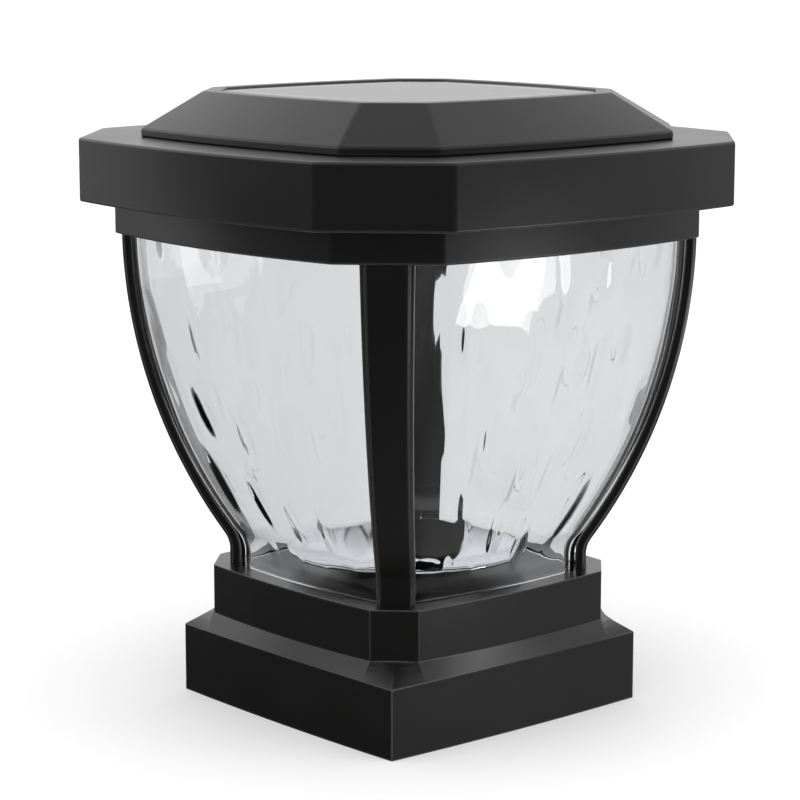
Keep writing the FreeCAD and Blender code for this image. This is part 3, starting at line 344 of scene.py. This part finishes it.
def moulding(name, colour, pale, roughness, grain_scale, grain_depth, dust, highlight_amount=0.0):
    """A moulded finish with fine grain, slow changes of tone, dust on top and a painted highlight
    along its edges.
    """
    material, tree, surface = shader(name)
    grain = grouped(tree, GRAIN, Scale=grain_scale)
    settled = grouped(tree, DUST, Amount=dust)
    drift = arithmetic(tree, "MULTIPLY", grain.outputs["Tone"], TONE_SHARE)
    tone = arithmetic(tree, "ADD", drift, settled.outputs["Mask"])
    shade = blend_colours(tree, tone, colour, pale)
    # paints a pale highlight along the edges over the colour
    if highlight_amount:
        edge_shine = grouped(tree, EDGE_HIGHLIGHT, Amount=highlight_amount)
        shade = blend_colours(tree, edge_shine.outputs["Mask"], shade, HIGHLIGHT_COLOUR)
    tree.links.new(shade, surface.inputs["Base Color"])
    rough = spread(tree, grain.outputs["Tone"], roughness - ROUGHNESS_DRIFT,
                   roughness + ROUGHNESS_DRIFT)
    tree.links.new(rough, surface.inputs["Roughness"])
    bump = tree.nodes.new("ShaderNodeBump")
    bump.inputs["Distance"].default_value = grain_depth
    bump.inputs["Strength"].default_value = BUMP_STRENGTH
    tree.links.new(grain.outputs["Height"], bump.inputs["Height"])
    tree.links.new(bump.outputs["Normal"], surface.inputs["Normal"])
    return material


def metal(name, colour, roughness):
    """Plated metal with a faint change of roughness."""
    material, tree, surface = shader(name)
    surface.inputs["Metallic"].default_value = 1.0
    surface.inputs["Base Color"].default_value = (*colour, 1)
    grain = grouped(tree, GRAIN, Scale=700.0)
    tree.links.new(spread(tree, grain.outputs["Height"], roughness * 0.6, roughness * 1.4),
                   surface.inputs["Roughness"])
    return material


def clear(name, colour, roughness, index):
    """Clear glass or resin."""
    material, tree, surface = shader(name)
    surface.inputs["Base Color"].default_value = (*colour, 1)
    surface.inputs["Transmission Weight"].default_value = 1.0
    surface.inputs["IOR"].default_value = index
    grain = grouped(tree, GRAIN, Scale=60.0)
    tree.links.new(spread(tree, grain.outputs["Tone"], roughness, roughness + 0.01),
                   surface.inputs["Roughness"])
    return material


# satin black, with a painted highlight along its edges
BLACK = moulding(
    "satin_black", colour=(0.004, 0.004, 0.0037), pale=(0.011, 0.011, 0.0105), roughness=0.3,
    grain_scale=2600.0, grain_depth=0.04 * MM, dust=0.25, highlight_amount=1.0)
INNER_BLACK = moulding(
    "moulded_black", colour=(0.012, 0.012, 0.012), pale=(0.03, 0.03, 0.03), roughness=0.5,
    grain_scale=900.0, grain_depth=0.08 * MM, dust=0.1)
WHITE = moulding(
    "moulded_white", colour=(0.6, 0.6, 0.58), pale=(0.75, 0.75, 0.73), roughness=0.45,
    grain_scale=900.0, grain_depth=0.05 * MM, dust=0.1)
RUBBER = moulding(
    "black_rubber", colour=(0.012, 0.012, 0.012), pale=(0.03, 0.03, 0.03), roughness=0.7,
    grain_scale=700.0, grain_depth=0.06 * MM, dust=0.2)
BOARD = moulding(
    "board_green", colour=(0.01, 0.07, 0.03), pale=(0.03, 0.12, 0.05), roughness=0.35,
    grain_scale=400.0, grain_depth=0.04 * MM, dust=0.05)
WRAP = moulding(
    "cell_wrap", colour=(0.02, 0.12, 0.05), pale=(0.04, 0.2, 0.08), roughness=0.3,
    grain_scale=300.0, grain_depth=0.02 * MM, dust=0.02)
PHOSPHOR = moulding(
    "led_yellow", colour=(0.7, 0.5, 0.06), pale=(0.85, 0.65, 0.15), roughness=0.4,
    grain_scale=900.0, grain_depth=0.02 * MM, dust=0.0)
STEEL = metal("zinc_steel", (0.6, 0.6, 0.58), 0.28)
CHROME = metal("chrome_dish", (0.82, 0.83, 0.86), 0.06)
GLASS = clear("clear_glass", (0.86, 0.865, 0.875), 0.0, 1.47)
LENS = clear("clear_lens", (0.95, 0.96, 0.96), 0.02, 1.49)
COVER = clear("panel_cover", (0.85, 0.85, 0.92), 0.05, 1.5)


FINGER_SCALE, FINGER_EDGE = 160.0, 0.93


def solar_silicon():
    """Dark blue cell strips with fine silver fingers, where a wave passes FINGER_EDGE."""
    material, tree, surface = shader("solar_silicon")
    place = tree.nodes.new("ShaderNodeTexCoord")
    lines = tree.nodes.new("ShaderNodeTexWave")
    lines.bands_direction = "X"
    lines.inputs["Scale"].default_value = FINGER_SCALE
    tree.links.new(place.outputs["Object"], lines.inputs["Vector"])
    finger = arithmetic(tree, "GREATER_THAN", lines.outputs["Fac"], FINGER_EDGE)
    tree.links.new(blend_colours(tree, finger, (0.012, 0.02, 0.06), (0.45, 0.47, 0.5)),
                   surface.inputs["Base Color"])
    tree.links.new(spread(tree, finger, 0.25, 0.4), surface.inputs["Roughness"])
    return material


SILICON = solar_silicon()


# ---------------------------------------------------------------- base, ring and roof shells
def base_cap():
    """Skirt, mitred deck and tier in one closed profile. The deck is DECK_STEPS rows ruled from
    the skirt's edge to the tier's foot, whose points match, so its mitre runs from the skirt's
    corner to the middle of the tier's facet."""
    room = inset(TIER, WALL)
    seat = (NECK_RADIUS - RIB_DEPTH - GLASS_GAP + SEAT_PLAY, SEAT_HALF, SEAT_BOW)
    island = inset(seat, GLASS_WALL + ISLAND_PLAY)
    floor, under = TIER_TOP - SEAT_DEPTH, TIER_TOP - WALL
    edge, tier_foot = skirt_row(SKIRT_HALF, SKIRT_BOW, SKIRT_TOP), ring_row(TIER, TIER_FOOT)
    rows = [skirt_row(SKIRT_HALF, SKIRT_BOW, 0)]
    rows += [edge + k / DECK_STEPS * (tier_foot - edge) for k in range(DECK_STEPS)]
    rows += [ring_row(shape, z) for shape, z in (
        (TIER, TIER_FOOT), (TIER, TIER_TOP), (seat, TIER_TOP), (seat, floor), (island, floor),
        (island, TIER_TOP), (HUB, TIER_TOP), (HUB, under), (room, under), (room, POST_STOP))]
    rows += [skirt_row(SKIRT_HALF - WALL, 0, POST_STOP), skirt_row(SKIRT_HALF - WALL, 0, 0)]
    carried("base_cap_shell", rows, "root", BLACK, ("base_cap",), SHELL_ROUND)


def lantern_ring():
    """The ring under the roof: one wall, open at both ends."""
    bore = inset(RING, WALL)
    rows = [ring_row(RING, RING_FOOT), ring_row(RING, RING_TOP), ring_row(bore, RING_TOP),
            ring_row(bore, RING_FOOT)]
    carried("lantern_ring", rows, "root", BLACK, ("lantern_frame",), SHELL_ROUND)


def bowl_line(depth, levels):
    """Radius of the bowl's side along a diagonal at each level, a depth inside the ribs' outer
    face: an upright neck, a small circle that turns it outwards, a large circle, an upright."""
    neck, turn, bowl = NECK_RADIUS - depth, NECK_CURVE + depth, BOWL_RADIUS - depth
    middle = BOWL_REACH - BOWL_RADIUS
    across = neck + turn - middle
    turn_level = BOWL_LEVEL - math.sqrt((bowl + turn) ** 2 - across ** 2)
    meeting = BOWL_LEVEL + (turn_level - BOWL_LEVEL) * bowl / (bowl + turn)
    small = neck + turn - np.sqrt(np.maximum(turn ** 2 - (levels - turn_level) ** 2, 0))
    drop = np.clip(BOWL_LEVEL - levels, 0, None)
    large = middle + np.sqrt(np.maximum(bowl ** 2 - drop ** 2, 0))
    return np.where(levels < turn_level, neck, np.where(levels < meeting, small, large))


def rib(quarter):
    """One rib: a stepped section, narrower at its foot, carried down the bowl's side. A point is
    the side's radius at its depth, moved along the tangent by its share of the width."""
    foot, head = TIER_TOP - RIB_SINK, RING_FOOT + RIB_LAP
    levels = np.concatenate([np.linspace(foot, RIB_CURVE_END, RIB_CURVE_STEPS),
                             np.linspace(RIB_SLOPE_START, head, RIB_SLOPE_STEPS)])
    share = (levels - foot) / (head - foot)
    flange, panel = between(RIB_WIDTH, share) / 2, between(PANEL_WIDTH, share) / 2
    ledge = panel + PANEL_SLOPE
    section = [(-flange, RIB_DEPTH), (-flange, PANEL_RAISE), (-ledge, PANEL_RAISE),
               (-panel, 0.0), (panel, 0.0), (ledge, PANEL_RAISE), (flange, PANEL_RAISE),
               (flange, RIB_DEPTH)]
    turn = math.pi / 4 + quarter * math.pi / 2
    out = np.array([math.cos(turn), math.sin(turn)])
    beside = np.array([-math.sin(turn), math.cos(turn)])
    edges = []
    for across, depth in section:
        plan = bowl_line(depth, levels)[:, None] * out + across[:, None] * beside
        edges.append(np.column_stack([plan, levels]))
    count, points = len(section), np.stack(edges, 1).reshape(-1, 3)
    faces = grid_faces(len(levels), count, False).tolist()
    faces += [list(range(count))[::-1], list(range(len(points) - count, len(points)))]
    new_piece(f"rib_{quarter + 1}", points, faces, "root", BLACK, ("lantern_frame",), RIB_ROUND,
              RIB_LIMIT)


def roof_rim():
    """The deep fascia, its ledge and the opening under the hood."""
    room = inset(RIM, WALL)
    plate = RIM_TOP - RIM_PLATE
    rows = [ring_row(shape, z) for shape, z in (
        (RIM, RIM_FOOT), (RIM, RIM_TOP), (RIM_HOLE, RIM_TOP), (RIM_HOLE, plate), (room, plate),
        (room, RIM_FOOT))]
    carried("roof_rim_shell", rows, "roof", BLACK, ("roof_rim",), RIM_ROUND)


def solar_hood():
    """Upright foot, bowed slopes, flat border and the pocket that holds the panel."""
    pocket = inset(HOOD_TOP, PANEL_BORDER)
    window = inset(pocket, PANEL_LEDGE)
    under = inset(HOOD, 2 * WALL)
    shelf = HOOD_FLANGE_TOP - POCKET_DEPTH
    rows = [ring_row(shape, z) for shape, z in (
        (HOOD, RIM_TOP), (HOOD, HOOD_SHOULDER), (HOOD_TOP, HOOD_FLANGE_TOP),
        (pocket, HOOD_FLANGE_TOP), (pocket, shelf), (window, shelf),
        (window, shelf - LEDGE_THICKNESS), (under, HOOD_SHOULDER), (under, RIM_TOP))]
    carried("solar_hood_shell", rows, "roof", BLACK, ("solar_hood",), HOOD_ROUND)


# ---------------------------------------------------------------- globe and dish
def globe():
    """Water-glass globe. Outer and inner faces are the same bowed octagon with softened corners
    at every level; long dimples in staggered rows are pressed into the outer one."""
    foot, top = level("glass_globe", 0), level("glass_globe", 1)
    share = np.linspace(0, 1, GLOBE_ROWS)
    levels = foot + share * (top - foot)
    theta = np.linspace(0, 2 * math.pi, GLOBE_COLUMNS, endpoint=False)
    shells = []
    for depth in (0.0, GLASS_WALL):
        facet = bowl_line(RIB_DEPTH + GLASS_GAP, levels) - depth
        half = between(GLASS_HALF, share) - depth * FACET_SHARE
        radius = np.stack([octagon_radius(theta, *shape)
                           for shape in zip(facet, half, between(GLASS_BOW, share))])
        for _ in range(SOFTENING):
            radius = (np.roll(radius, 1, 1) + 2 * radius + np.roll(radius, -1, 1)) / 4
        shells.append(radius)
    outer = shells[0] - ripple(*np.meshgrid(theta, share))
    inner = shells[1] - thickening(theta, share)
    radius = np.concatenate([outer, inner[::-1]])
    heights = np.concatenate([levels, levels[::-1]])[:, None]
    grid = np.stack([radius * np.cos(theta), radius * np.sin(theta),
                     np.repeat(heights, GLOBE_COLUMNS, 1)], -1).reshape(-1, 3)
    faces = grid_faces(2 * GLOBE_ROWS, GLOBE_COLUMNS, True).tolist()
    new_piece("globe_glass", grid, faces, "root", GLASS, ("glass_globe",))


def thickening(theta, share):
    """What the wall gains inwards behind the ribs, which widens what is seen past them: a bell
    about each rib's direction times a swell up the globe, which grows and waves."""
    span, run_in, least, wave, turns = 0.18, 0.1, 0.3, 0.25, 14.0
    behind_rib = np.exp(-((theta % (math.pi / 2) - math.pi / 4) / span) ** 2)
    swell = np.clip(share / run_in, 0, 1) * between((least, 1.0), share)
    swell = swell * (1 + wave * np.sin(turns * share))
    return GLASS_SWELL * behind_rib * swell[:, None]


def ripple(direction, up):
    """Depth of the dimples: a product of a wave round the globe and a wave up it peaks in a
    staggered lattice, slanted by the level. Slower waves bend both, so that no two dimples are
    alike, and broad streaks lie between them. Dimples keep clear of the ribs, and all of it
    fades out at both ends."""
    around_count, up_count, slant, waver, least = 24, 2.1, 2.0, 1.6, 0.2
    bend = 0.5 * np.sin(3 * direction + 2.0) + 0.35 * np.sin(5 * direction + 7 * up)
    around = around_count * direction + waver * bend + slant * up
    along = 2 * math.pi * (up_count * up + 0.12 * np.sin(4 * direction + 1.0)) + bend
    peak = np.clip((np.cos(around) * np.cos(along) - least) / (1 - least), 0, 1)
    dimple = peak ** 2 * (3 - 2 * peak)
    streak = np.sin(8 * direction + bend) * np.sin(3 * up + direction)
    from_rib = np.abs(direction % (math.pi / 2) - math.pi / 4)
    clear_of_ribs = np.clip((from_rib - 0.15) / 0.25, 0, 1)
    fade = np.clip((up - 0.03) / 0.05, 0, 1) * np.clip((0.985 - up) / 0.05, 0, 1)
    return (DIMPLE_DEPTH * dimple * clear_of_ribs + STREAK_DEPTH * streak) * fade


def reflector():
    """Spun dish: floor, flare and rolled lip turned round the axis, closed through its hub. The
    flare rises with the power FLARE of its run."""
    foot, top = level("reflector_dish", 0), level("reflector_dish", 1)
    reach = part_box("reflector_dish")[1][0]
    run = np.linspace(0, 1, DISH_ROWS)
    radius = between((DISH_FLAT, reach - DISH_LIP), run)
    height = foot + DISH_SHEET + (top - foot - DISH_SHEET) * run ** FLARE
    upper = [(DISH_BORE, foot + DISH_SHEET), *zip(radius, height), (reach, top)]
    lower = [(r, z - DISH_SHEET) for r, z in upper[::-1]]
    profile = np.array(upper + lower)
    theta = np.linspace(0, 2 * math.pi, DISH_COLUMNS, endpoint=False)
    grid = np.stack([profile[:, :1] * np.cos(theta), profile[:, :1] * np.sin(theta),
                     np.repeat(profile[:, 1:], DISH_COLUMNS, 1)], -1).reshape(-1, 3)
    faces = grid_faces(len(profile), DISH_COLUMNS, True)[:, ::-1].tolist()
    new_piece("chrome_reflector", grid, faces, "root", CHROME, ("reflector_dish",))


for build in (base_cap, lantern_ring, roof_rim, solar_hood, globe, reflector):
    build()
for corner in range(4):
    rib(corner)

# ---------------------------------------------------------------- pieces kept from the frame
FINISHES = {
    RUBBER: ("globe_foot_gasket", "globe_top_gasket", "roof_gasket", "panel_seal"),
    STEEL: ("rib_screws", "reflector_screw", "roof_screws", "board_screws", "battery_plates",
            "battery_springs", "switch_body"),
    INNER_BLACK: ("roof_tray", "battery_bay", "battery_door", "driver_parts"),
    WHITE: ("led_board", "switch_knob"),
    BOARD: ("panel_backing", "circuit_board"),
    WRAP: ("battery_cell_1", "battery_cell_2"),
    PHOSPHOR: ("led_chip",),
    LENS: ("lamp_lens",),
    COVER: ("panel_cover",),
    SILICON: ("solar_cells",),
}
for finish, nodes in FINISHES.items():
    for node in nodes:
        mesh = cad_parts[node].data
        mesh.materials.clear()
        mesh.materials.append(finish)


# ---------------------------------------------------------------- stage, light and camera
FLOOR_REACH = 12.0
FLOOR_GREY, FLOOR_GLOW = 0.9, 0.12
# unit vectors from the camera to the light, and to its right
VIEW_LINE = (-0.741, 0.648, -0.175)
VIEW_RIGHT = (0.658, 0.753, 0.0)
DIFFUSE_FILL = 0.7
CAMERA_PLACE = (0.60088, -0.52535, 0.23374)
CAMERA_DOWN, CAMERA_TURN = 10.063, 49.017
CAMERA_LENS, CAMERA_SENSOR = 120.17, 36.0
# upright square or oblong lamps: name, place, aim, width, height, power
SOFTBOXES = (
    ("left_box", (-0.62, -0.30, 0.12), (0, 0, 0.03), 0.30, 0.30, 0.12),
    ("left_low_box", (-0.36, -0.29, 0.05), (-0.05, -0.05, 0.01), 0.10, 0.08, 0.03),
    ("near_low_box", (0.30, 0.12, 0.05), (0.05, -0.05, 0.01), 0.10, 0.08, 0.15),
    ("right_box", (0.34, 0.66, 0.12), (0, 0, 0.03), 0.30, 0.30, 0.05),
)


def add_floor():
    """A wide pale floor, which glows a little to the camera alone. Reflections and refractions
    pass through it to the studio."""
    material, tree, surface = shader("pale_floor")
    surface.inputs["Base Color"].default_value = (FLOOR_GREY, FLOOR_GREY, FLOOR_GREY, 1)
    surface.inputs["Roughness"].default_value = 0.9
    surface.inputs["Specular IOR Level"].default_value = 0.1
    path = tree.nodes.new("ShaderNodeLightPath")
    surface.inputs["Emission Color"].default_value = (1, 1, 1, 1)
    tree.links.new(arithmetic(tree, "MULTIPLY", path.outputs["Is Camera Ray"], FLOOR_GLOW),
                   surface.inputs["Emission Strength"])
    gap = tree.nodes.new("ShaderNodeBsdfTransparent")
    choice = tree.nodes.new("ShaderNodeMixShader")
    bounced = arithmetic(tree, "MAXIMUM", path.outputs["Is Glossy Ray"],
                         path.outputs["Is Transmission Ray"])
    tree.links.new(bounced, choice.inputs[0])
    tree.links.new(surface.outputs[0], choice.inputs[1])
    tree.links.new(gap.outputs[0], choice.inputs[2])
    tree.links.new(choice.outputs[0], tree.nodes["Material Output"].inputs["Surface"])
    mesh = bpy.data.meshes.new("floor")
    mesh.from_pydata([(x * FLOOR_REACH, y * FLOOR_REACH, 0)
                      for x, y in ((-1, -1), (1, -1), (1, 1), (-1, 1))], [], [(0, 1, 2, 3)])
    mesh.materials.append(material)
    placed("floor", mesh)


def ramp(tree, value, start, end, low, high):
    """A number that runs from low to high while a value runs from start to end."""
    node = tree.nodes.new("ShaderNodeMapRange")
    tree.links.new(value, node.inputs["Value"])
    for label, number in (("From Min", start), ("From Max", end), ("To Min", low),
                          ("To Max", high)):
        node.inputs[label].default_value = number
    return node.outputs[0]


def along(tree, direction, axis):
    """How far a direction socket points along an axis."""
    node = tree.nodes.new("ShaderNodeVectorMath")
    node.operation = "DOT_PRODUCT"
    tree.links.new(direction, node.inputs[0])
    node.inputs[1].default_value = axis
    return node.outputs["Value"]


def add_world():
    """A white studio. The camera sees plain white. Clear pieces see white ahead and behind, and
    grey to the sides. Reflections see white above the horizon, dim below it and most of all on
    the left, dimmer towards the zenith, and dark round the camera. Other rays get an even fill."""
    world = bpy.data.worlds.new("studio")
    bpy.context.scene.world = world
    world.use_nodes = True
    tree = world.node_tree
    ground = tree.nodes["Background"]
    ground.inputs["Color"].default_value = (1, 1, 1, 1)
    path = tree.nodes.new("ShaderNodeLightPath")
    direction = tree.nodes.new("ShaderNodeTexCoord").outputs["Generated"]
    upward = along(tree, direction, (0, 0, 1))
    ahead = along(tree, direction, VIEW_LINE)
    rightward = along(tree, direction, VIEW_RIGHT)
    low = ramp(tree, rightward, -0.9, 0.9, 0.04, 0.35)
    high = ramp(tree, rightward, -0.9, 0.9, 1.5, 1.1)
    rise = ramp(tree, upward, -0.12, 0.26, 0.0, 1.0)
    zenith = ramp(tree, upward, 0.3, 0.85, 1.0, 0.45)
    side = ramp(tree, ahead, -0.9, 0.1, 0.25, 1.0)
    through = ramp(tree, arithmetic(tree, "ABSOLUTE", ahead), 0.5, 0.93, 0.4, 1.0)
    climb = arithmetic(tree, "MULTIPLY", rise, arithmetic(tree, "SUBTRACT", high, low))
    mirrored = arithmetic(tree, "MULTIPLY", arithmetic(tree, "ADD", low, climb),
                          arithmetic(tree, "MULTIPLY", side, zenith))
    total = path.outputs["Is Camera Ray"]
    for kind, amount in (("Is Transmission Ray", through), ("Is Glossy Ray", mirrored),
                         ("Is Diffuse Ray", DIFFUSE_FILL)):
        part = arithmetic(tree, "MULTIPLY", path.outputs[kind], amount)
        total = arithmetic(tree, "MAXIMUM", total, part)
    tree.links.new(total, ground.inputs["Strength"])


def add_sun(name, tilt, turn, width, strength):
    """A broad, even lamp that doesn't show in reflections. tilt is from overhead, turn is about
    the upright axis and width is the lamp's own angle, all in degrees."""
    data = bpy.data.lights.new(name, "SUN")
    data.angle = math.radians(width)
    data.energy = strength
    lamp = placed(name, data)
    lamp.rotation_euler = (math.radians(tilt), 0, math.radians(turn))
    lamp.visible_glossy = False


def add_softbox(name, place, aim, width, height, power):
    """An upright rectangular lamp at a place, turned to face a point."""
    data = bpy.data.lights.new(name, "AREA")
    data.shape = "RECTANGLE"
    data.size, data.size_y = width, height
    data.energy = power
    lamp = placed(name, data)
    lamp.location = place
    toward = np.subtract(aim, place)
    tilt = math.atan2(math.hypot(toward[0], toward[1]), -toward[2])
    lamp.rotation_euler = (tilt, 0, math.atan2(-toward[0], toward[1]))


def add_camera():
    """The photograph's viewing place, fitted to the object's own edges."""
    data = bpy.data.cameras.new("camera")
    data.lens, data.sensor_width = CAMERA_LENS, CAMERA_SENSOR
    camera = placed("camera", data)
    camera.location = CAMERA_PLACE
    camera.rotation_euler = (math.radians(90 - CAMERA_DOWN), 0, math.radians(CAMERA_TURN))
    bpy.context.scene.camera = camera


add_floor()
add_world()
add_sun("overhead", tilt=12, turn=40, width=70, strength=1.6)
for softbox in SOFTBOXES:
    add_softbox(*softbox)
add_camera()
bpy.context.scene.view_settings.view_transform = "Standard"
